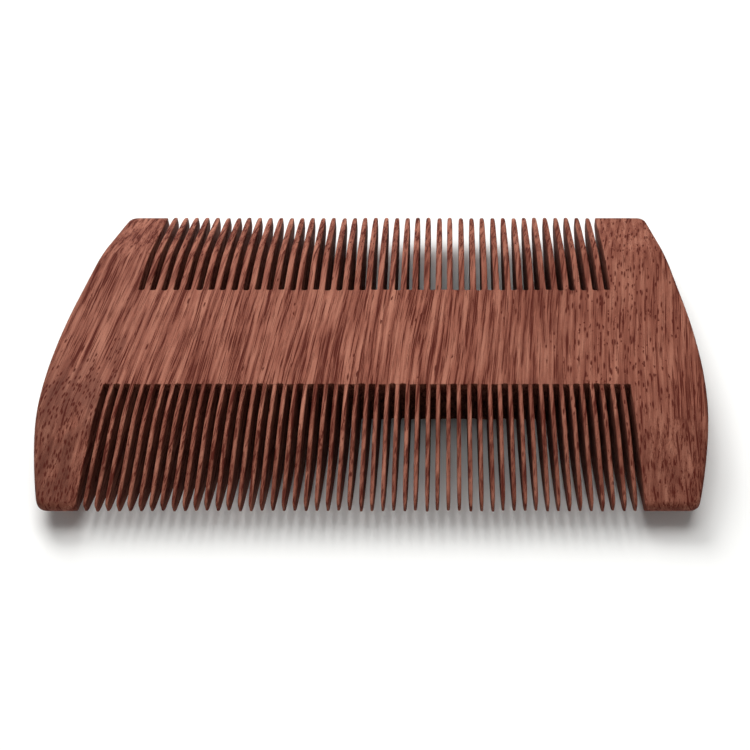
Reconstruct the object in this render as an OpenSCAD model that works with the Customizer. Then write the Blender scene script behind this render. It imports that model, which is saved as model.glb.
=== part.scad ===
// Double-sided beard comb, sawn from a single red-brown hardwood board.
// The board is a flat-faced blank whose two long edges are ground down to a
// wedge on both faces. Coarse slots are sawn into one edge and fine slots
// into the other. What is left uncut is the spine and the two curved end guards.
// Grain, teeth and slots all run along Y. Millimetres, +Z up, on the floor.

/* [Board] */
// Overall length, across the widest place of the two curved ends
comb_length = 90.5; // [86:0.5:100]
// Overall width, from coarse tooth tips to fine tooth tips
comb_width = 60; // [56:1:64]
// Thickness of the flat middle of the board
spine_thickness = 7; // [6:0.2:8]
// Thickness at the tooth tips
tip_thickness = 1.4; // [1:0.1:2]
// Width of the flat that the comb rests on, along Y
flat_width = 28; // [24:1:32]
// Radius of the rounded crest between the flat and the wedge
crest_radius = 28; // [10:1:40]
// How far the widest place sits towards the fine teeth, along Y
widest_offset = 6; // [4:0.5:8]
// Radius of each end from the widest place to the fine side, from above
fine_side_radius = 80; // [70:2:110]
// Radius of each end from the widest place towards the coarse side
coarse_side_radius = 120; // [100:2:150]
// Length along Y of that second arc, before the end runs straight
coarse_side_arc = 12; // [10:1:16]
// Radius of the four corners, seen from above
corner_radius = 1.6; // [1:0.1:2.5]

/* [Teeth] */
// Number of coarse teeth
coarse_count = 40; // [30:1:40]
// Distance from one coarse tooth to the next
coarse_pitch = 1.73; // [1.6:0.01:1.8]
// Width of a coarse tooth
coarse_tooth_width = 0.86; // [0.7:0.02:1]
// Depth of the coarse slots, from the tips
coarse_depth = 21.6; // [19:0.2:23]
// Number of fine teeth
fine_count = 51; // [40:1:51]
// Distance from one fine tooth to the next
fine_pitch = 1.384; // [1.3:0.002:1.39]
// Width of a fine tooth
fine_tooth_width = 0.54; // [0.45:0.01:0.7]
// Depth of the fine slots, from the tips
fine_depth = 18.6; // [16:0.2:20]
// Length of the pointed end of every tooth
point_length = 3.4; // [2:0.2:5]
// Width left at the blunt end of a point, as a share of the tooth
blunt_share = 0.34; // [0.2:0.02:0.5]
// How far both tooth rows sit off the middle of the board, along X
row_shift = -0.95; // [-1.5:0.05:1.5]

/* [Hidden] */

half_length = comb_length / 2;
half_width = comb_width / 2;
half_flat = flat_width / 2;
mid_height = spine_thickness / 2;

// The crest is an arc that leaves the flat at its edge. The wedge's face is
// the tangent from the tooth tip to that arc, at the angle wedge_angle.
half_tip = tip_thickness / 2;
crest_axis = mid_height - crest_radius;
tip_reach = norm([half_width - half_flat, half_tip - crest_axis]);
tip_bearing = atan2(half_tip - crest_axis, half_width - half_flat);
wedge_angle = 90 - tip_bearing - acos(crest_radius / tip_reach);
crest_steps = 5;

// Each end is an arc, a second and flatter arc, and a straight run, in that
// order from the fine side. They touch at the widest place and at end_turn.
corner_y = half_width - corner_radius;
fine_side_axis = half_length - fine_side_radius;
coarse_side_axis = half_length - coarse_side_radius;
end_turn = asin(coarse_side_arc / coarse_side_radius);

// The fine side's corner arc touches the tip line and the first arc.
fine_corner_x = fine_side_axis
    + sqrt((fine_side_radius - corner_radius) ^ 2 - (corner_y - widest_offset) ^ 2);
fine_join = atan2(widest_offset - corner_y, fine_corner_x - fine_side_axis);

// The coarse side's corner arc touches the tip line and the straight run.
straight_start = coarse_side_arc - widest_offset - corner_radius * sin(end_turn);
coarse_corner_x = coarse_side_axis
    + (coarse_side_radius - corner_radius) * cos(end_turn)
    - (corner_y - straight_start) * tan(end_turn);

// Short straight runs that make up each arc and each corner.
arc_steps = 16;
corner_steps = 8;

// Slot roots, and the walls of the two guards beside each tooth row.
coarse_root = half_width - coarse_depth;
fine_root = -(half_width - fine_depth);
coarse_kerf = coarse_pitch - coarse_tooth_width;
fine_kerf = fine_pitch - fine_tooth_width;
coarse_half_row = (coarse_count - 1) * coarse_pitch / 2 + coarse_tooth_width / 2 + coarse_kerf;
fine_half_row = (fine_count - 1) * fine_pitch / 2 + fine_tooth_width / 2 + fine_kerf;
spine_half_row = max(coarse_half_row, fine_half_row);

past = 2;

wood_spine = "#9b6250";
wood_guard = "#7c493b";
wood_coarse = "#87503f";
wood_fine = "#804a3b";

// The upper face from the edge of the flat, over the crest in short straight
// runs, and down the wedge to the tip.
function upper_face() = concat(
    [for (i = [0:crest_steps])
        let (turn = wedge_angle * i / crest_steps)
        [half_flat + crest_radius * sin(turn), crest_axis + crest_radius * cos(turn)]],
    [[half_width, half_tip]]
);

// Section of the board across its length, centred on its middle.
module board_section() {
    quarter = upper_face();
    last = len(quarter) - 1;
    polygon(concat(
        quarter,
        [for (i = [last:-1:0]) [quarter[i][0], -quarter[i][1]]],
        [for (i = [0:last]) -quarter[i]],
        [for (i = [last:-1:0]) [-quarter[i][0], quarter[i][1]]]
    ));
}

// The section drawn out along X, resting on the floor.
module board_bar() {
    translate([-half_length - past, 0, mid_height])
        rotate([90, 0, 90])
            linear_extrude(comb_length + 2 * past) board_section();
}

// Points of an arc about [x, y], from one angle to another.
function arc(x, y, radius, from, to, steps) = [
    for (i = [0:steps])
        let (angle = from + (to - from) * i / steps)
        [x + radius * cos(angle), y + radius * sin(angle)]
];

// Points of the right end from above, from its fine corner to its coarse one.
right_end = concat(
    arc(fine_corner_x, -corner_y, corner_radius, -90, fine_join, corner_steps),
    arc(fine_side_axis, -widest_offset, fine_side_radius,
        fine_join * (1 - 1 / arc_steps), 0, arc_steps - 1),
    arc(coarse_side_axis, -widest_offset, coarse_side_radius,
        end_turn / arc_steps, end_turn, arc_steps - 1),
    arc(coarse_corner_x, corner_y, corner_radius, end_turn, 90, corner_steps)
);

// Outline of the board from above: curved ends and rounded corners.
module board_outline() {
    last = len(right_end) - 1;
    polygon(concat(
        right_end,
        [for (i = [last:-1:0]) [-right_end[i][0], right_end[i][1]]]
    ));
}

// Whatever plan shape is given, cut out of the board.
module cut_from_board() {
    intersection() {
        linear_extrude(spine_thickness) children();
        board_bar();
    }
}

// Everything from the guard's inner walls outward. side is -1 left, 1 right.
module guard_region(side) {
    coarse_wall = row_shift + side * coarse_half_row;
    fine_wall = row_shift + side * fine_half_row;
    joint_wall = row_shift + side * spine_half_row;
    outer = side * (half_length + past);
    polygon([
        [outer, half_width + past],
        [coarse_wall, half_width + past],
        [coarse_wall, coarse_root],
        [joint_wall, coarse_root],
        [joint_wall, fine_root],
        [fine_wall, fine_root],
        [fine_wall, -half_width - past],
        [outer, -half_width - past]
    ]);
}

// One end of the board, left solid outside the last slot of each row.
module end_guard(side) {
    color(wood_guard)
        cut_from_board()
            intersection() {
                board_outline();
                guard_region(side);
            }
}

// Plan of one tooth at x = 0, from its root to its blunt point on +Y.
module tooth_plan(width, root) {
    shoulder = half_width - point_length;
    // The point narrows slowly at first and faster near its end.
    side = [for (t = [0:0.25:1]) [width / 2 * (1 - (1 - blunt_share) * t ^ 2),
                                  shoulder + point_length * t]];
    polygon(concat(
        [[-width / 2, root], [width / 2, root]],
        side,
        [for (i = [len(side) - 1:-1:0]) [-side[i][0], side[i][1]]]
    ));
}

// A row of separate teeth along X.
module tooth_row(count, pitch, width, root) {
    for (i = [0:count - 1])
        translate([row_shift + (i - (count - 1) / 2) * pitch, 0])
            tooth_plan(width, root);
}

// The uncut middle of the board, which carries both rows of teeth.
module spine() {
    color(wood_spine)
        cut_from_board()
            translate([row_shift - spine_half_row, fine_root])
                square([2 * spine_half_row, coarse_root - fine_root]);
}

module left_end_guard() {
    end_guard(-1);
}

module right_end_guard() {
    end_guard(1);
}

module coarse_teeth() {
    color(wood_coarse)
        cut_from_board()
            tooth_row(coarse_count, coarse_pitch, coarse_tooth_width, coarse_root);
}

module fine_teeth() {
    color(wood_fine)
        cut_from_board()
            mirror([0, 1])
                tooth_row(fine_count, fine_pitch, fine_tooth_width, -fine_root);
}

spine();
left_end_guard();
right_end_guard();
coarse_teeth();
fine_teeth();
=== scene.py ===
# %% [markdown]
# # A double-sided beard comb in oiled red sandalwood
# The real comb is one board. It is planed flat, its two long edges are ground
# to a wedge, and a gang of thin saws cuts a coarse row and a fine row of teeth.
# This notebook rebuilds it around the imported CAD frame, in metres, as five
# touching regions that share one continuous block of wood.

# %% Load the fixed frame
import math
import random

import bmesh
import bpy
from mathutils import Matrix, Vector


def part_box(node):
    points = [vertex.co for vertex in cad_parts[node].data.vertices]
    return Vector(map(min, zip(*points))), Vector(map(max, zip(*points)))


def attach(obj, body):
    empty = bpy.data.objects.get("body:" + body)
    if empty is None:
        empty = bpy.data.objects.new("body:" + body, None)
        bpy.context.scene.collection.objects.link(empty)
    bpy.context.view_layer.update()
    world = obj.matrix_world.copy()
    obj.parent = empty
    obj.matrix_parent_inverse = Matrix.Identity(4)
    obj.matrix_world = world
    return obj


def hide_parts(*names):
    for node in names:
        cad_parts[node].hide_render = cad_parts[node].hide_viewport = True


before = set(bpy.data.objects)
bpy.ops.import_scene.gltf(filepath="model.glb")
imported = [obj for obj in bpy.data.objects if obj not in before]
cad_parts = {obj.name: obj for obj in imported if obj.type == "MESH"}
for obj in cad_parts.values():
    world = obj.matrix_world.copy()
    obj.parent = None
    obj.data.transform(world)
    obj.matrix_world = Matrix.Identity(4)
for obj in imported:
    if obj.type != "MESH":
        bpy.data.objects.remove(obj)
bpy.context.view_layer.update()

MM = 0.001

# %% [markdown]
# ## Sizes
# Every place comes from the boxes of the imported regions. Only the sizes that a
# box can't tell, such as the number of teeth and the radii of the curves, are
# named here, and they repeat the values that the CAD model was drawn with.

# %% Sizes that come from the frame
spine_low, spine_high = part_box("spine")
coarse_low, coarse_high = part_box("coarse_teeth")
fine_low, fine_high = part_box("fine_teeth")
left_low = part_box("left_end_guard")[0]
right_low, right_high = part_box("right_end_guard")

BOARD_TOP = spine_high.z
BOARD_BOTTOM = spine_low.z
MID_Z = (BOARD_TOP + BOARD_BOTTOM) / 2
HALF_LENGTH = min(-left_low.x, right_high.x)
HALF_WIDTH = min(right_high.y, -right_low.y)
COARSE_ROOT = spine_high.y
FINE_ROOT = spine_low.y
print("slot roots at y, mm:", round(COARSE_ROOT / MM, 2), round(FINE_ROOT / MM, 2))

# %% Sizes of the saw cuts and curves
COARSE_COUNT = 40
FINE_COUNT = 51
COARSE_TOOTH = 0.86 * MM
FINE_TOOTH = 0.54 * MM
FLAT_HALF = 14 * MM
CREST_RADIUS = 28 * MM
TIP_HALF = 0.7 * MM
WIDEST_Y = -6 * MM
FINE_SIDE_RADIUS = 80 * MM
COARSE_SIDE_RADIUS = 120 * MM
COARSE_SIDE_ARC = 12 * MM
CORNER_RADIUS = 1.6 * MM

coarse_pitch = (coarse_high.x - coarse_low.x - COARSE_TOOTH) / (COARSE_COUNT - 1)
fine_pitch = (fine_high.x - fine_low.x - FINE_TOOTH) / (FINE_COUNT - 1)
coarse_kerf = coarse_pitch - COARSE_TOOTH
fine_kerf = fine_pitch - FINE_TOOTH
print("pitches, mm:", round(coarse_pitch / MM, 3), round(fine_pitch / MM, 3))

# %% [markdown]
# ## The ground profile
# Across its width the board is flat in the middle, turns over a soft crest and
# runs down to the tips as a straight wedge, the same on both faces. A belt
# grinder makes that shape in one pass, so one function of y can give it to
# every region, and no region can fall out of line with its neighbour.

# %% Half of the board's thickness at a distance from its middle
crest_axis_z = (BOARD_TOP - MID_Z) - CREST_RADIUS
tip_run = HALF_WIDTH - FLAT_HALF
tip_rise = TIP_HALF - crest_axis_z
WEDGE_ANGLE = (math.pi / 2 - math.atan2(tip_rise, tip_run)
               - math.acos(CREST_RADIUS / math.hypot(tip_run, tip_rise)))
CREST_END = FLAT_HALF + CREST_RADIUS * math.sin(WEDGE_ANGLE)


def half_thickness(y):
    """Flat, then an arc, then a straight wedge down to the tips."""
    reach = abs(y)
    if reach <= FLAT_HALF:
        return BOARD_TOP - MID_Z
    if reach <= CREST_END:
        return crest_axis_z + math.sqrt(CREST_RADIUS ** 2 - (reach - FLAT_HALF) ** 2)
    return TIP_HALF + (HALF_WIDTH - reach) * math.tan(WEDGE_ANGLE)


print("wedge angle, degrees:", round(math.degrees(WEDGE_ANGLE), 2))

# %% [markdown]
# ## Small helpers
# A piece is points and faces first. One helper turns them into an object with
# its normals facing out, and marks as sharp only the edges that the saw and the
# grinder leave sharp. A second helper adds a node with its settings and links,
# and it serves the wood and the rows of teeth alike.


# %% From points and faces to a closed piece
def make_piece(name, points, faces, sharp_degrees):
    """A mesh object at the origin, with its place in its points."""
    mesh = bpy.data.meshes.new(name)
    mesh.from_pydata(points, [], faces)
    shape = bmesh.new()
    shape.from_mesh(mesh)
    bmesh.ops.remove_doubles(shape, verts=shape.verts, dist=1e-7)
    bmesh.ops.recalc_face_normals(shape, faces=shape.faces)
    shape.to_mesh(mesh)
    shape.free()
    mesh.polygons.foreach_set("use_smooth", [True] * len(mesh.polygons))
    mesh.set_sharp_from_angle(angle=math.radians(sharp_degrees))
    piece = bpy.data.objects.new(name, mesh)
    bpy.context.scene.collection.objects.link(piece)
    return piece


# %% One node, its settings and its links
def add(tree, kind, settings=None, inputs=None):
    """Adds a node. An input that is a socket is linked, any other is set."""
    node = tree.nodes.new(kind)
    for setting, value in (settings or {}).items():
        setattr(node, setting, value)
    for key, value in (inputs or {}).items():
        if isinstance(value, bpy.types.NodeSocket):
            tree.links.new(value, node.inputs[key])
        else:
            node.inputs[key].default_value = value
    return node


# %% sRGB hex to the linear colour that shaders work in
def linear(hex_colour):
    """'#a0522d' to linear (r, g, b, 1)."""
    channels = [int(hex_colour[i:i + 2], 16) / 255 for i in (1, 3, 5)]
    return tuple(c / 12.92 if c <= 0.04045 else ((c + 0.055) / 1.055) ** 2.4
                 for c in channels) + (1.0,)


# %% [markdown]
# ## Red sandalwood, sanded and oiled
# The comb is cut along the grain, so the vessels of the wood run down every
# tooth as thin dark lines. Where the board is cut square to the rings they are
# long, and where the grain dives they show as dashes and pores. A picture of
# wood would slide over the teeth and repeat, so the wood is a solid block in
# Object coordinates instead: each saw cut then shows the grain that is there.

# %% Grain scales, in millimetres (x across the comb, y along the grain, z down)
# Vessels in such wood are 0.1 to 0.2 mm wide, and fibres about 0.02 mm. Both
# are drawn coarser here, because at their true width they would not show.
STREAK = (0.62, 46.0, 1.4)
FINE_STREAK = (0.34, 24.0, 0.9)
VESSEL = (0.46, 12.0, 0.60)
DASH = (0.42, 2.6, 0.60)
CLUMP = (5.0, 7.0, 6.0)
PORE = (0.38, 1.5, 0.60)
FIBRE = (0.17, 6.0, 0.17)
SPECK = (0.26, 0.55, 0.26)
BAND = (2.6, 85.0, 4.0)
PATCH = (9.0, 40.0, 12.0)
DRIFT = (30.0, 120.0, 30.0)
NOISE_LOW = 0.3
NOISE_HIGH = 0.7
VESSEL_ROLL = math.radians(35)
VESSEL_CORE = 0.55
VESSEL_EDGE = 1.25
print("vessel cells, mm wide and long:", VESSEL[:2])


# %% Patterns that the wood is built from
def stretched(tree, place, cell_mm, roll=0.0):
    """The coordinates, scaled so that one cell of a pattern has this size."""
    return add(tree, "ShaderNodeMapping", None,
               {"Vector": place, "Rotation": (0.0, roll, 0.0),
                "Scale": [1 / (size * MM) for size in cell_mm]}
               ).outputs["Vector"]


def grain_noise(tree, place, cell_mm, detail=2.0):
    """Soft noise drawn out along the grain."""
    return add(tree, "ShaderNodeTexNoise", None,
               {"Vector": stretched(tree, place, cell_mm), "Detail": detail}
               ).outputs["Fac"]


def ranged(tree, value, old_low, old_high, new_low, new_high):
    """Maps one range to another, held at its ends."""
    return add(tree, "ShaderNodeMapRange", None,
               {"Value": value, "From Min": old_low, "From Max": old_high,
                "To Min": new_low, "To Max": new_high}).outputs["Result"]


def maths(tree, operation, first, second, clamp=False):
    """Arithmetic on two values."""
    return add(tree, "ShaderNodeMath",
               {"operation": operation, "use_clamp": clamp},
               {0: first, 1: second}).outputs[0]


# %% Vessels, one to a cell
def vessels(tree, place, cell_mm, reach, density):
    """Thin dark ellipses, one to a cell, in the share of cells given by density.

    The cells are columns that pass through the board on a slant, so the faces
    and the sawn walls alike cut each one whole.
    """
    cells = add(tree, "ShaderNodeTexVoronoi", {"voronoi_dimensions": "2D"},
                {"Vector": stretched(tree, place, cell_mm, VESSEL_ROLL), "Scale": 1.0})
    line = ranged(tree, cells.outputs["Distance"],
                  reach * VESSEL_CORE, reach * VESSEL_EDGE, 1.0, 0.0)
    chance = add(tree, "ShaderNodeSeparateColor", None,
                 {"Color": cells.outputs["Color"]}).outputs["Red"]
    return maths(tree, "MULTIPLY", line, maths(tree, "LESS_THAN", chance, density))


# %% [markdown]
# ## Where the grain runs
# A tree doesn't grow straight, and a board is never sawn quite in line with it.
# So the coordinates are bent before any pattern reads them: first a slow
# wander, then a lean off the line of the teeth, which is larger at the right.

# %% The bent coordinates
# A slant is how far the grain steps sideways for each step along the teeth.
DRIFT_REACH = 0.6 * MM
SLANT_LEFT = 0.065
SLANT_RIGHT = 0.12
SLANT_FROM = -10 * MM
SLANT_TO = 28 * MM


def grain_place(tree):
    """Object coordinates that wander and lean as the grain does."""
    still = add(tree, "ShaderNodeTexCoord").outputs["Object"]
    wander = add(tree, "ShaderNodeTexNoise", None,
                 {"Vector": stretched(tree, still, DRIFT), "Detail": 0.0}).outputs["Color"]
    centred = add(tree, "ShaderNodeVectorMath", {"operation": "SUBTRACT"},
                  {0: wander, 1: (0.5, 0.5, 0.5)}).outputs[0]
    sideways = add(tree, "ShaderNodeVectorMath", {"operation": "MULTIPLY"},
                   {0: centred, 1: (2 * DRIFT_REACH, 0.0, DRIFT_REACH)}).outputs[0]
    bent = add(tree, "ShaderNodeVectorMath", {"operation": "ADD"},
               {0: still, 1: sideways}).outputs[0]
    run = add(tree, "ShaderNodeSeparateXYZ", None, {"Vector": bent})
    lean = ranged(tree, run.outputs["X"], SLANT_FROM, SLANT_TO, SLANT_LEFT, SLANT_RIGHT)
    straight = maths(tree, "SUBTRACT", run.outputs["X"],
                     maths(tree, "MULTIPLY", run.outputs["Y"], lean))
    return add(tree, "ShaderNodeCombineXYZ", None,
               {"X": straight, "Y": run.outputs["Y"], "Z": run.outputs["Z"]}
               ).outputs["Vector"]


# %% [markdown]
# ## Zones of the board
# One board shows its vessels in three ways: dashes in the right end, pores in
# the near left corner, and long lines everywhere else. Each zone is a soft
# window on the coordinates, shifted by slow noise so that no border is straight.

# %% The zones
# Each pair is where the soft edge of a zone begins and where it ends.
ZONE_SHIFT = 5 * MM
DASHES_BEGIN = (25 * MM, 31 * MM)
DASHES_END = (39 * MM, 43 * MM)
PORES_LEFT = (-33 * MM, -38 * MM)
PORES_NEAR = (-4 * MM, -12 * MM)
print("dashes between x, mm:", round(DASHES_BEGIN[0] / MM), round(DASHES_END[1] / MM))


def board_zones(tree, place, patch):
    """(across, along, dash zone, pore zone); the zones run from 0 to 1."""
    shift = ranged(tree, patch, NOISE_LOW, NOISE_HIGH, -ZONE_SHIFT, ZONE_SHIFT)
    axes = add(tree, "ShaderNodeSeparateXYZ", None, {"Vector": place})
    across = maths(tree, "ADD", axes.outputs["X"], shift)
    along = maths(tree, "ADD", axes.outputs["Y"], shift)
    dash_zone = maths(tree, "MULTIPLY", ranged(tree, across, *DASHES_BEGIN, 0.0, 1.0),
                      ranged(tree, across, *DASHES_END, 1.0, 0.0))
    pore_zone = maths(tree, "MULTIPLY", ranged(tree, across, *PORES_LEFT, 0.0, 1.0),
                      ranged(tree, along, *PORES_NEAR, 0.0, 1.0))
    return across, along, dash_zone, pore_zone


# %% [markdown]
# ## Dark lines
# Streaks are noise cut off near its low end, so only its deepest troughs stay,
# and they crowd together where the growth band is dark. Vessels, dashes and
# pores are ellipses of three lengths. The darkest of them all wins.

# %% How dense and how sharp the lines are
BAND_DARK = 0.36
BAND_LIGHT = 0.62
CROWDING = 0.13
STREAK_CUT = (0.325, 0.345)
FINE_STREAK_CUT = (0.305, 0.335)
FINE_STREAK_DARK = 0.95
VESSEL_REACH = 0.24
DASH_REACH = 0.28
PORE_REACH = 0.27
# The share of cells that hold a line, in the emptiest and in the fullest place.
VESSEL_SHARE = (0.06, 0.50)
CLUMP_CUT = (0.44, 0.52)
CLUMP_SHARE = (0.10, 0.95)
DASH_SHARE = (0.03, 1.0)
PORE_SHARE = (0.01, 0.80)
print("share of cells with a vessel:", VESSEL_SHARE)


# %% The lines
def dark_lines(tree, place, band, dash_zone, pore_zone):
    """1 on a line and 0 between the lines."""
    long_zone = maths(tree, "SUBTRACT", maths(tree, "SUBTRACT", 1.0, dash_zone),
                      pore_zone, clamp=True)
    crowd = ranged(tree, band, BAND_DARK, BAND_LIGHT, 1.0, 0.0)
    lift = maths(tree, "MULTIPLY", maths(tree, "MULTIPLY", crowd, long_zone), CROWDING)
    streak = maths(tree, "SUBTRACT", grain_noise(tree, place, STREAK, 1.5), lift)
    streaks = ranged(tree, streak, *STREAK_CUT, 1.0, 0.0)
    fine_streak = maths(tree, "SUBTRACT", grain_noise(tree, place, FINE_STREAK, 1.0), lift)
    fine_streaks = maths(tree, "MULTIPLY",
                         ranged(tree, fine_streak, *FINE_STREAK_CUT, 1.0, 0.0),
                         FINE_STREAK_DARK)
    long_lines = vessels(tree, place, VESSEL, VESSEL_REACH,
                         ranged(tree, crowd, 0.0, 1.0, *VESSEL_SHARE))
    clumps = ranged(tree, grain_noise(tree, place, CLUMP, 1.0), *CLUMP_CUT, *CLUMP_SHARE)
    dashes = vessels(tree, place, DASH, DASH_REACH,
                     maths(tree, "MULTIPLY", clumps,
                           ranged(tree, dash_zone, 0.0, 1.0, *DASH_SHARE)))
    pores = vessels(tree, place, PORE, PORE_REACH,
                    ranged(tree, pore_zone, 0.0, 1.0, *PORE_SHARE))
    return maths(tree, "MAXIMUM", maths(tree, "MAXIMUM", streaks, fine_streaks),
                 maths(tree, "MAXIMUM", long_lines,
                       maths(tree, "MAXIMUM", dashes, pores)))


# %% [markdown]
# ## Ground colour
# Between its lines the wood is a pinkish brown, in growth bands and slow
# patches, broken up by fibres and specks. The ground is darker towards its two
# ends. It is darker too towards the fine teeth, most of all in the corner with
# the pores, and that is partly the wood's own tone and partly painted shade on
# the near wedge.

# %% Colours and tones of the ground
DARK_BAND = linear("#70392a")
MIDDLE_BAND = linear("#884e3d")
LIGHT_BAND = linear("#a46a56")
DARK_STOP = 0.36
MIDDLE_STOP = 0.50
LIGHT_STOP = 0.66
BAND_SHARE = 0.7
PATCH_SHARE = 0.3
FIBRE_TONE = (0.84, 1.14)
SPECK_TONE = (0.80, 1.20)
# Where a shade starts, where it is full, and its tone at each of the two.
RIGHT_SHADE = (8 * MM, 24 * MM, 1.0, 0.87)
LEFT_SHADE = (-28 * MM, -38 * MM, 1.0, 0.93)
# The near wedge and its left corner: partly the wood's own tone, partly painted shade.
NEAR_TONE_AND_PAINTED_SHADE = (-11 * MM, -26 * MM, 1.0, 0.82)
CORNER_TONE_AND_PAINTED_SHADE = (0.0, 1.0, 1.0, 0.78)
print("middle of the bands, linear:", [round(c, 3) for c in MIDDLE_BAND[:3]])


# %% The ground
def growth_bands(tree, band, patch):
    """The colour of the bands, shifted a little from patch to patch."""
    bands = add(tree, "ShaderNodeValToRGB", None,
                {"Fac": maths(tree, "ADD", maths(tree, "MULTIPLY", band, BAND_SHARE),
                              maths(tree, "MULTIPLY", patch, PATCH_SHARE))})
    ramp = bands.color_ramp
    ramp.elements[0].position = DARK_STOP
    ramp.elements[0].color = DARK_BAND
    ramp.elements[1].position = LIGHT_STOP
    ramp.elements[1].color = LIGHT_BAND
    middle = ramp.elements.new(MIDDLE_STOP)
    middle.color = MIDDLE_BAND
    return bands.outputs["Color"]


def board_tone_and_painted_shade(tree, place, fibre, across, along, pore_zone):
    """How light the ground is: fibres, specks, a darkening towards both ends, and a
    darkening of the near wedge and its corner that is partly tone, partly painted shade.
    """
    speck = grain_noise(tree, place, SPECK, 1.0)
    tone = maths(tree, "MULTIPLY", ranged(tree, fibre, NOISE_LOW, NOISE_HIGH, *FIBRE_TONE),
                 ranged(tree, speck, NOISE_LOW, NOISE_HIGH, *SPECK_TONE))
    ends = maths(tree, "MULTIPLY", ranged(tree, across, *RIGHT_SHADE),
                 ranged(tree, across, *LEFT_SHADE))
    # Partly the wood's tone, partly painted shade on the near wedge and its corner.
    near_tone_and_shade = maths(tree, "MULTIPLY", ranged(tree, along, *NEAR_TONE_AND_PAINTED_SHADE),
                 ranged(tree, pore_zone, *CORNER_TONE_AND_PAINTED_SHADE))
    return maths(tree, "MULTIPLY", tone, maths(tree, "MULTIPLY", ends, near_tone_and_shade))


# %% [markdown]
# ## The finished surface
# Sanded and oiled wood is satin, with no clear highlight, and its open vessels
# are rough little grooves. End grain and sawn walls drink more oil than the
# faces do, so every surface that turns sideways is darkened; that darkening is
# also painted shade, which deepens the slots and draws a dark line along the
# rounded rims. The reflection is set lower than is usual for oiled wood, because
# a strong one turns this red wood grey under white light.

# %% How the wood is finished
LINE_COLOUR = linear("#48140a")
LINE_STRENGTH = 0.92
# Sideways surfaces darken towards this: oil in sawn wood, and painted shade in slots and on
# rims.
WALL_OIL_AND_PAINTED_SHADE_COLOUR = linear("#4a231c")
WALL_OIL_AND_PAINTED_SHADE_STRENGTH = 0.42
# How far a face looks up or down: below the first it is a wall, above the second a face.
WALL_FACING = (0.05, 0.65)
FIBRE_HEIGHT = 0.35
GROOVE_DEPTH = 0.03 * MM
GROOVE_STRENGTH = 0.5
SATIN = (0.66, 0.76)
GROOVE_ROUGHNESS = 0.15
WOOD_IOR = 1.5
WOOD_SPECULAR = 0.12
print("roughness of the faces:", SATIN)


# %% The wood
def blended(tree, factor, first, second, blend="MIX"):
    """Two colours mixed, or the first multiplied by the second."""
    return add(tree, "ShaderNodeMix", {"data_type": "RGBA", "blend_type": blend},
               {"Factor": factor, "A": first, "B": second}).outputs["Result"]


def sandalwood():
    """Solid procedural wood whose grain runs along Y through every region."""
    material = bpy.data.materials.new("red_sandalwood_sanded_and_oiled")
    material.use_nodes = True
    tree = material.node_tree
    tree.nodes.clear()
    place = grain_place(tree)
    patch = grain_noise(tree, place, PATCH)
    band = grain_noise(tree, place, BAND, 3.0)
    fibre = grain_noise(tree, place, FIBRE, 3.0)
    across, along, dash_zone, pore_zone = board_zones(tree, place, patch)
    lines = dark_lines(tree, place, band, dash_zone, pore_zone)

    # The tone carries the painted shade of the near wedge as well.
    tone = board_tone_and_painted_shade(tree, place, fibre, across, along, pore_zone)
    ground = blended(tree, 1.0, growth_bands(tree, band, patch), tone, "MULTIPLY")
    lined = blended(tree, maths(tree, "MULTIPLY", lines, LINE_STRENGTH), ground, LINE_COLOUR)
    # Surfaces that turn sideways darken: oil in the sawn wood, and painted shade in the slots
    # and on the rims.
    facing = add(tree, "ShaderNodeSeparateXYZ", None,
                 {"Vector": add(tree, "ShaderNodeNewGeometry").outputs["Normal"]})
    wall = ranged(tree, maths(tree, "ABSOLUTE", facing.outputs["Z"], 0.0),
                  *WALL_FACING, WALL_OIL_AND_PAINTED_SHADE_STRENGTH, 0.0)
    colour = blended(tree, wall, lined, WALL_OIL_AND_PAINTED_SHADE_COLOUR)

    height = maths(tree, "SUBTRACT", maths(tree, "MULTIPLY", fibre, FIBRE_HEIGHT), lines)
    relief = add(tree, "ShaderNodeBump", None,
                 {"Height": height, "Strength": GROOVE_STRENGTH, "Distance": GROOVE_DEPTH})
    rough = maths(tree, "ADD", ranged(tree, fibre, NOISE_LOW, NOISE_HIGH, *SATIN),
                  maths(tree, "MULTIPLY", lines, GROOVE_ROUGHNESS))
    surface = add(tree, "ShaderNodeBsdfPrincipled", None,
                  {"Base Color": colour, "Roughness": rough, "IOR": WOOD_IOR,
                   "Specular IOR Level": WOOD_SPECULAR,
                   "Normal": relief.outputs["Normal"]})
    add(tree, "ShaderNodeOutputMaterial", None, {"Surface": surface.outputs["BSDF"]})
    return material


wood = sandalwood()
print("wood nodes:", len(wood.node_tree.nodes))

# %% [markdown]
# ## Walls beside the saw cuts
# The outermost slot of each row leaves the inner wall of an end guard. The two
# rows have different pitches, so their walls don't quite line up.

# %% Where the saws stop at each end
COARSE_WALLS = (coarse_low.x - coarse_kerf, coarse_high.x + coarse_kerf)
FINE_WALLS = (fine_low.x - fine_kerf, fine_high.x + fine_kerf)
JOINT_WALLS = (spine_low.x, spine_high.x)
print("coarse walls, mm:", [round(x / MM, 2) for x in COARSE_WALLS])
print("fine walls, mm:", [round(x / MM, 2) for x in FINE_WALLS])

# %% [markdown]
# ## The spine
# The spine is what the saws don't reach. Its top is plain, but each of its
# long edges is a row of slot ends, cut by a round blade: a little deeper in the
# middle of the board than at its faces, with softened corners, and no two the
# same depth. It could be a box with notches cut by booleans. Drawing its
# outline by a loop, at five heights, gives the same shape with clean faces.

# %% The outline of the spine at one height
SLOT_DEPTHS = (0.02 * MM, 0.22 * MM)
BLADE_HOLLOW = 0.12 * MM
BROKEN_EDGE = 0.06 * MM
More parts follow.
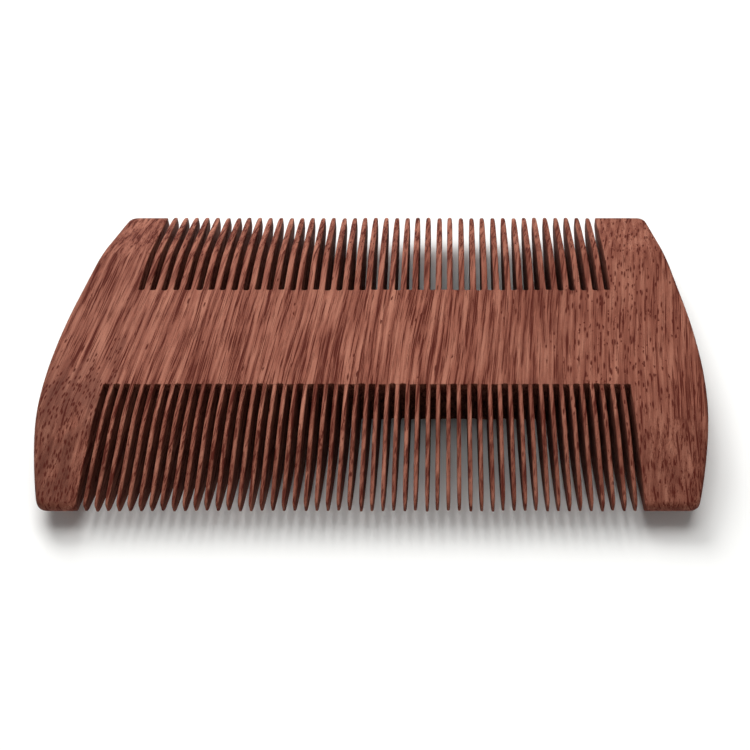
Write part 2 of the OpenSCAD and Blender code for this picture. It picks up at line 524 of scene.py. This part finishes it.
# How much deeper the slots end at each height, from the underside to the top.
EDGE_LEVELS = (BROKEN_EDGE, 0.0, BLADE_HOLLOW, 0.0, BROKEN_EDGE)
NOTCH_SHAPE = ((0.0, 0.0), (0.10, 0.72), (0.30, 1.0), (0.70, 1.0), (0.90, 0.72), (1.0, 0.0))


def slot_ends(count, pitch, first_wall, kerf, seed):
    """(start, width, depth) of each slot's end, from left to right."""
    chance = random.Random(seed)
    return [(first_wall + i * pitch, kerf, chance.uniform(*SLOT_DEPTHS))
            for i in range(count + 1)]


def notched_edge(slots, root, inward, deeper):
    """The points of one long edge, from left to right."""
    points = []
    for start, width, depth in slots:
        for share, sink in NOTCH_SHAPE:
            points.append((start + share * width, root + inward * sink * (depth + deeper)))
    return points


# %% Build the spine
def build_spine():
    """Five outlines joined by walls and closed by two flat faces."""
    coarse = slot_ends(COARSE_COUNT, coarse_pitch, COARSE_WALLS[0], coarse_kerf, 11)
    fine = slot_ends(FINE_COUNT, fine_pitch, FINE_WALLS[0], fine_kerf, 12)
    thickness = BOARD_TOP - BOARD_BOTTOM
    heights = (0.0, BROKEN_EDGE, thickness / 2, thickness - BROKEN_EDGE, thickness)
    points = []
    for height, extra in zip(heights, EDGE_LEVELS):
        loop = [(JOINT_WALLS[0], FINE_ROOT)]
        loop += notched_edge(fine, FINE_ROOT, 1, extra)
        loop += [(JOINT_WALLS[1], FINE_ROOT), (JOINT_WALLS[1], COARSE_ROOT)]
        loop += notched_edge(coarse, COARSE_ROOT, -1, extra)[::-1]
        loop += [(JOINT_WALLS[0], COARSE_ROOT)]
        points += [(x, y, BOARD_BOTTOM + height) for x, y in loop]
    around = len(points) // len(heights)
    faces = [list(range(around))[::-1],
             list(range(around * (len(heights) - 1), around * len(heights)))]
    for level in range(len(heights) - 1):
        low = level * around
        for i in range(around):
            j = (i + 1) % around
            faces.append([low + i, low + j, low + around + j, low + around + i])
    return make_piece("comb_spine", points, faces, 30)


spine = build_spine()
print("spine faces:", len(spine.data.polygons))

# %% [markdown]
# ## The end guards
# The ends are left solid to protect the outer teeth in a pocket. Seen from
# above, an end is widest a little to the fine side. One arc runs from there to
# the fine corner, and a flatter arc and then a straight run lead to the coarse
# corner. The rim is sanded to a soft round, and the wall beside the teeth keeps
# a crisp edge. A bevel modifier would stumble where a thin wedge meets the
# rim, so the guard is a grid over its outline, and each point sinks by its
# distance from the rim.

# %% Distances and roundings
RIM_ROUND = 0.66 * MM
WALL_ROUND = 0.14 * MM
INNER_CORNER = 0.6 * MM
corner_y = HALF_WIDTH - CORNER_RADIUS
fine_axis = HALF_LENGTH - FINE_SIDE_RADIUS
coarse_axis = HALF_LENGTH - COARSE_SIDE_RADIUS
END_TURN = math.asin(COARSE_SIDE_ARC / COARSE_SIDE_RADIUS)
STRAIGHT_FROM = WIDEST_Y + COARSE_SIDE_ARC
straight_x = coarse_axis + COARSE_SIDE_RADIUS * math.cos(END_TURN)
fine_corner_x = fine_axis + math.sqrt((FINE_SIDE_RADIUS - CORNER_RADIUS) ** 2
                                      - (corner_y + WIDEST_Y) ** 2)
coarse_corner_x = (straight_x - CORNER_RADIUS / math.cos(END_TURN)
                   - (corner_y - STRAIGHT_FROM) * math.tan(END_TURN))
print("corner centres at x, mm:", round(fine_corner_x / MM, 2), round(coarse_corner_x / MM, 2))


# %% How far an edge drops, and where the rim lies
def sink(distance, radius):
    """How far a rounded edge drops at a distance from the rim."""
    if distance >= radius:
        return 0.0
    return radius - math.sqrt(max(radius ** 2 - (radius - distance) ** 2, 0.0))


def outer_edge(y):
    """How far out the guard reaches at y."""
    if abs(y) > corner_y:
        centre = coarse_corner_x if y > 0 else fine_corner_x
        return centre + math.sqrt(max(CORNER_RADIUS ** 2 - (abs(y) - corner_y) ** 2, 0.0))
    if y > STRAIGHT_FROM:
        return straight_x - (y - STRAIGHT_FROM) * math.tan(END_TURN)
    axis, radius = ((coarse_axis, COARSE_SIDE_RADIUS) if y > WIDEST_Y
                    else (fine_axis, FINE_SIDE_RADIUS))
    return axis + math.sqrt(radius ** 2 - (y - WIDEST_Y) ** 2)


def rim_distance(x, y):
    """Distance from a point to the curved end, the tip line or the round corner."""
    centre = coarse_corner_x if y > 0 else fine_corner_x
    if abs(y) > corner_y and x > centre:
        return CORNER_RADIUS - math.hypot(x - centre, abs(y) - corner_y)
    if y > STRAIGHT_FROM:
        to_end = (outer_edge(y) - x) * math.cos(END_TURN)
    elif y > WIDEST_Y:
        to_end = COARSE_SIDE_RADIUS - math.hypot(x - coarse_axis, y - WIDEST_Y)
    else:
        to_end = FINE_SIDE_RADIUS - math.hypot(x - fine_axis, y - WIDEST_Y)
    return min(HALF_WIDTH - abs(y), to_end)


# %% Rows of the guard's grid, and its inner wall
RIM_STEPS = [step * MM for step in (0.0, 0.03, 0.11, 0.24, 0.42, 0.66)]
WALL_STEPS = [step * MM for step in (0.0, 0.02, 0.07, 0.14)]
CORNER_STEPS = [step * MM for step in (0.8, 1.2, 1.6, 2.4)]
STEP_WIDTH = 0.01 * MM
ROW_SPACING = 1.0 * MM
COLUMNS_BETWEEN = 6


def guard_rows():
    """Rows along y: close together at both tip lines and at each slot root."""
    ends = [HALF_WIDTH - step for step in RIM_STEPS + CORNER_STEPS]
    rows = ends + [-y for y in ends]
    rows += [COARSE_ROOT, COARSE_ROOT + STEP_WIDTH, FINE_ROOT, FINE_ROOT - STEP_WIDTH]
    rows += [FLAT_HALF, -FLAT_HALF, CREST_END, -CREST_END]
    inside = ends[-1] - ROW_SPACING / 2
    count = round(2 * inside / ROW_SPACING)
    rows += [-inside + 2 * inside * i / count for i in range(count + 1)]
    rows.sort()
    kept = [rows[0]]
    for y in rows[1:]:
        if y - kept[-1] > STEP_WIDTH / 2:
            kept.append(y)
    return kept


def inner_wall(y, side):
    """(x of the inner wall, whether a slot lies beside it), as if on the right."""
    index = 0 if side < 0 else 1
    if y > COARSE_ROOT + STEP_WIDTH / 2:
        return side * COARSE_WALLS[index], True
    if y < FINE_ROOT - STEP_WIDTH / 2:
        return side * FINE_WALLS[index], True
    return side * JOINT_WALLS[index], False


print("rows in a guard:", len(guard_rows()))


# %% The height of a guard at a point
def guard_point(x, y, wall, beside_slot):
    """Half thickness at a point, less the rounding of its nearest edges."""
    drop = sink(rim_distance(x, y), RIM_ROUND)
    if beside_slot:
        from_wall = x - wall
        to_tip = HALF_WIDTH - abs(y)
        if from_wall < INNER_CORNER and to_tip < INNER_CORNER:
            from_wall = INNER_CORNER - math.hypot(INNER_CORNER - from_wall,
                                                  INNER_CORNER - to_tip)
        drop = max(drop, sink(max(from_wall, 0.0), WALL_ROUND))
    return half_thickness(y) - drop


# %% Build both guards
def build_guard(name, side):
    """side is -1 for the left guard and 1 for the right."""
    rows = guard_rows()
    grid = []
    for y in rows:
        wall, beside_slot = inner_wall(y, side)
        near_tip = max(INNER_CORNER - (HALF_WIDTH - abs(y)), 0.0)
        start = wall + INNER_CORNER - math.sqrt(INNER_CORNER ** 2 - near_tip ** 2)
        stop = outer_edge(y)
        columns = [start + step for step in WALL_STEPS]
        outer = [stop - step for step in RIM_STEPS[::-1]]
        gap = (outer[0] - columns[-1]) / (COLUMNS_BETWEEN + 1)
        columns += [columns[-1] + gap * (i + 1) for i in range(COLUMNS_BETWEEN)]
        grid.append([(x, y, guard_point(x, y, wall, beside_slot))
                     for x in columns + outer])
    wide, tall = len(grid[0]), len(rows)
    points = [(side * x, y, MID_Z + half) for line in grid for x, y, half in line]
    points += [(side * x, y, MID_Z - half) for line in grid for x, y, half in line]
    under = wide * tall
    faces = []
    for r in range(tall - 1):
        for c in range(wide - 1):
            a = r * wide + c
            faces.append([a, a + 1, a + wide + 1, a + wide])
            faces.append([under + a, under + a + wide, under + a + wide + 1, under + a + 1])
    rim = list(range(wide))
    rim += [r * wide + wide - 1 for r in range(1, tall)]
    rim += [(tall - 1) * wide + c for c in range(wide - 2, -1, -1)]
    rim += [r * wide for r in range(tall - 2, 0, -1)]
    for a, b in zip(rim, rim[1:] + rim[:1]):
        faces.append([a, under + a, under + b, b])
    return make_piece(name, points, faces, 32)


left_guard = build_guard("comb_left_end_guard", -1)
right_guard = build_guard("comb_right_end_guard", 1)
print("guard faces:", len(left_guard.data.polygons), len(right_guard.data.polygons))

# %% [markdown]
# ## One tooth
# After sawing, each tooth is ground to a point: the sides draw in over the last
# few millimetres and end in a blunt round that can't scratch. All the teeth of
# a row are the same blank, so one is drawn, ring by ring, with its four long
# edges broken.

# %% Rings of a tooth, from root to tip
POINT_LENGTH = 4.6 * MM
TOOTH_BREAK = 0.10 * MM
MOST_BREAK = 0.42
# (share of the point's length, share of the width, share of the thickness)
POINT_RINGS = ((0.0, 1.0, 1.0), (0.40, 0.97, 1.0), (0.65, 0.90, 1.0), (0.82, 0.80, 1.0),
               (0.91, 0.69, 0.97), (0.965, 0.54, 0.86), (0.99, 0.36, 0.68), (1.0, 0.18, 0.46))


def build_tooth(name, width, root, tip):
    """A tooth at x = 0, in its true place along y."""
    forward = 1 if tip > root else -1
    start, stop = abs(root), abs(tip)
    shoulder = stop - POINT_LENGTH
    body = [FLAT_HALF, (FLAT_HALF + CREST_END) / 2, CREST_END, (CREST_END + shoulder) / 2]
    rings = [(reach, 1.0, 1.0) for reach in [start] + body]
    rings += [(shoulder + POINT_LENGTH * t, wide, thick) for t, wide, thick in POINT_RINGS]
    points = []
    for reach, wide, thick in rings:
        half_x = width / 2 * wide
        half_z = half_thickness(reach) * thick
        cut = min(TOOTH_BREAK, MOST_BREAK * half_x, MOST_BREAK * half_z)
        corner = [(half_x - cut, half_z), (half_x, half_z - cut),
                  (half_x, cut - half_z), (half_x - cut, -half_z),
                  (cut - half_x, -half_z), (-half_x, cut - half_z),
                  (-half_x, half_z - cut), (cut - half_x, half_z)]
        points += [(x, forward * reach, MID_Z + z) for x, z in corner]
    around = len(points) // len(rings)
    last = len(points) - around
    faces = [list(range(around)), list(range(last, last + around))]
    for low in range(0, last, around):
        for i in range(around):
            j = (i + 1) % around
            faces.append([low + i, low + j, low + around + j, low + around + i])
    return make_piece(name, points, faces, 38)


# %% [markdown]
# ## A row of teeth with Geometry Nodes
# A comb saw steps along the board by a fixed pitch, and that is what the tree
# does: a line of points, one tooth on each. Hand finishing leaves the teeth a
# hair out of step, so each gets a small seeded turn and is a little short. The
# same tree makes both rows, because its sizes are inputs.


# %% The tree
def row_tree():
    """Points along X, a tooth on each, made real and given its wood."""
    tree = bpy.data.node_groups.new("comb_row", "GeometryNodeTree")
    sockets = (("Tooth", "NodeSocketObject"), ("Count", "NodeSocketInt"),
               ("Pitch", "NodeSocketFloat"), ("First tooth", "NodeSocketFloat"),
               ("Turn", "NodeSocketFloat"), ("Shortest", "NodeSocketFloat"),
               ("Seed", "NodeSocketInt"), ("Wood", "NodeSocketMaterial"))
    tree.interface.new_socket("Geometry", in_out="OUTPUT", socket_type="NodeSocketGeometry")
    for name, kind in sockets:
        tree.interface.new_socket(name, in_out="INPUT", socket_type=kind)
    given = add(tree, "NodeGroupInput").outputs
    start = add(tree, "ShaderNodeCombineXYZ", None, {"X": given["First tooth"]})
    step = add(tree, "ShaderNodeCombineXYZ", None, {"X": given["Pitch"]})
    line = add(tree, "GeometryNodeMeshLine", {"mode": "OFFSET"},
               {"Count": given["Count"], "Start Location": start.outputs[0],
                "Offset": step.outputs[0]})
    tooth = add(tree, "GeometryNodeObjectInfo", None,
                {"Object": given["Tooth"], "As Instance": True})
    back = add(tree, "ShaderNodeMath", {"operation": "MULTIPLY"},
               {0: given["Turn"], 1: -1.0})
    turn = add(tree, "FunctionNodeRandomValue", {"data_type": "FLOAT"},
               {"Min": back.outputs[0], "Max": given["Turn"], "Seed": given["Seed"]})
    spin = add(tree, "ShaderNodeCombineXYZ", None, {"Z": turn.outputs["Value"]})
    length = add(tree, "FunctionNodeRandomValue", {"data_type": "FLOAT"},
                 {"Min": given["Shortest"], "Max": 1.0, "Seed": given["Seed"]})
    size = add(tree, "ShaderNodeCombineXYZ", None,
               {"X": 1.0, "Y": length.outputs["Value"], "Z": 1.0})
    placed = add(tree, "GeometryNodeInstanceOnPoints", None,
                 {"Points": line.outputs["Mesh"], "Instance": tooth.outputs["Geometry"],
                  "Rotation": spin.outputs[0], "Scale": size.outputs[0]})
    real = add(tree, "GeometryNodeRealizeInstances", None,
               {"Geometry": placed.outputs["Instances"]})
    dressed = add(tree, "GeometryNodeSetMaterial", None,
                  {"Geometry": real.outputs["Geometry"], "Material": given["Wood"]})
    add(tree, "NodeGroupOutput", None, {"Geometry": dressed.outputs["Geometry"]})
    return tree


ROW_TREE = row_tree()
print("row tree nodes:", len(ROW_TREE.nodes))


# %% Run the tree for one row and keep plain mesh
def build_row(name, tooth, inputs):
    """Sets the tree's inputs by their identifiers, then bakes it to a mesh."""
    carrier = bpy.data.objects.new(name + "_maker", bpy.data.meshes.new(name + "_maker"))
    bpy.context.scene.collection.objects.link(carrier)
    modifier = carrier.modifiers.new("row", "NODES")
    modifier.node_group = ROW_TREE
    identifiers = {item.name: item.identifier for item in ROW_TREE.interface.items_tree
                   if item.in_out == "INPUT"}
    for socket, value in {"Tooth": tooth, "Wood": wood, **inputs}.items():
        modifier[identifiers[socket]] = value
    carrier.update_tag()
    bpy.context.view_layer.update()
    evaluated = carrier.evaluated_get(bpy.context.evaluated_depsgraph_get())
    mesh = bpy.data.meshes.new_from_object(evaluated)
    mesh.name = name
    carrier.modifiers.remove(modifier)
    bpy.data.objects.remove(carrier)
    bpy.data.objects.remove(tooth)
    row = bpy.data.objects.new(name, mesh)
    bpy.context.scene.collection.objects.link(row)
    print(name, "faces:", len(mesh.polygons))
    return row


MOST_TURN = math.radians(0.12)
coarse_row = build_row(
    "comb_coarse_teeth",
    build_tooth("coarse_blank", COARSE_TOOTH, COARSE_ROOT, HALF_WIDTH),
    {"Count": COARSE_COUNT, "Pitch": coarse_pitch,
     "First tooth": coarse_low.x + COARSE_TOOTH / 2,
     "Turn": MOST_TURN, "Shortest": 0.995, "Seed": 3})
fine_row = build_row(
    "comb_fine_teeth",
    build_tooth("fine_blank", FINE_TOOTH, FINE_ROOT, -HALF_WIDTH),
    {"Count": FINE_COUNT, "Pitch": fine_pitch,
     "First tooth": fine_low.x + FINE_TOOTH / 2,
     "Turn": MOST_TURN, "Shortest": 0.993, "Seed": 5})

# %% [markdown]
# ## Dress and attach the pieces
# Every piece is the same wood. Each rides on the one rigid body, stands for its
# own CAD region and is given the one wood material.

# %% Wood on every piece, and each piece on its body
for piece, node in ((spine, "spine"), (left_guard, "left_end_guard"),
                    (right_guard, "right_end_guard"), (coarse_row, "coarse_teeth"),
                    (fine_row, "fine_teeth")):
    piece.data.materials.clear()
    piece.data.materials.append(wood)
    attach(piece, "root")
    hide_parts(node)
    print(piece.name, "stands for", node)

# %% [markdown]
# ## Stage and light
# A white table under two soft boxes, one overhead and one behind, with a weak
# low fill in front and a pale sky. The light from behind makes the flat glow
# and lets the near wedge fall darker; the fill opens the shadow under the tips.

# %% Table
HALF_FLOOR = 2.0
floor_mesh = bpy.data.meshes.new("table_top")
floor_mesh.from_pydata([(-HALF_FLOOR, -HALF_FLOOR, 0), (HALF_FLOOR, -HALF_FLOOR, 0),
                        (HALF_FLOOR, HALF_FLOOR, 0), (-HALF_FLOOR, HALF_FLOOR, 0)],
                       [], [(0, 1, 2, 3)])
floor = bpy.data.objects.new("table_top", floor_mesh)
bpy.context.scene.collection.objects.link(floor)
laminate = bpy.data.materials.new("white_matt_laminate")
laminate.use_nodes = True
laminate_surface = laminate.node_tree.nodes["Principled BSDF"].inputs
laminate_surface["Base Color"].default_value = linear("#f4f4f2")
laminate_surface["Roughness"].default_value = 0.9
floor_mesh.materials.append(laminate)
print("table, m across:", 2 * HALF_FLOOR)


# %% Lights
def soft_light(name, place, size, power):
    """A square area light that looks at the middle of the comb's underside."""
    lamp = bpy.data.lights.new(name, "AREA")
    lamp.shape = "SQUARE"
    lamp.size = size
    lamp.energy = power
    light = bpy.data.objects.new(name, lamp)
    light.location = place
    light.rotation_euler = (-Vector(place)).to_track_quat("-Z", "Y").to_euler()
    bpy.context.scene.collection.objects.link(light)
    print(name, "watts:", power)


soft_light("overhead_softbox", place=(0.04, 0.12, 0.50), size=0.40, power=1.7)
soft_light("back_softbox", place=(-0.20, 0.44, 0.425), size=0.35, power=3.7)
soft_light("front_fill", place=(0.0, -0.55, 0.12), size=0.50, power=1.1)

# %% Sky
SKY_STRENGTH = 0.15
world = bpy.data.worlds.new("pale_studio")
bpy.context.scene.world = world
world.use_nodes = True
sky = world.node_tree.nodes["Background"].inputs
sky["Color"].default_value = (1, 1, 1, 1)
sky["Strength"].default_value = SKY_STRENGTH
bpy.context.scene.view_settings.view_transform = "Standard"
print("sky strength:", SKY_STRENGTH)

# %% [markdown]
# ## Camera
# It stands close in front of the fine teeth and looks down at 45 degrees, a
# little to the right of the comb's middle. Its shift brings the comb back to
# the middle of the picture.

# %% The camera
SENSOR_WIDTH = 36.0
FOCAL_LENGTH = 51.7
SHIFT_ACROSS = -0.1
NEAREST_SEEN = 5 * MM
CAMERA_ACROSS = 10.30 * MM
CAMERA_AIM_Y = -9.6 * MM
CAMERA_DISTANCE = 147.2 * MM
CAMERA_PITCH = math.radians(45)
lens = bpy.data.cameras.new("view")
lens.sensor_width = SENSOR_WIDTH
lens.lens = FOCAL_LENGTH
lens.shift_x = SHIFT_ACROSS
lens.clip_start = NEAREST_SEEN
camera = bpy.data.objects.new("view", lens)
camera.location = (CAMERA_ACROSS,
                   CAMERA_AIM_Y - CAMERA_DISTANCE * math.cos(CAMERA_PITCH),
                   BOARD_TOP + CAMERA_DISTANCE * math.sin(CAMERA_PITCH))
camera.rotation_euler = (math.pi / 2 - CAMERA_PITCH, 0, 0)
bpy.context.scene.collection.objects.link(camera)
bpy.context.scene.camera = camera
print("camera at, mm:", [round(c / MM, 1) for c in camera.location])
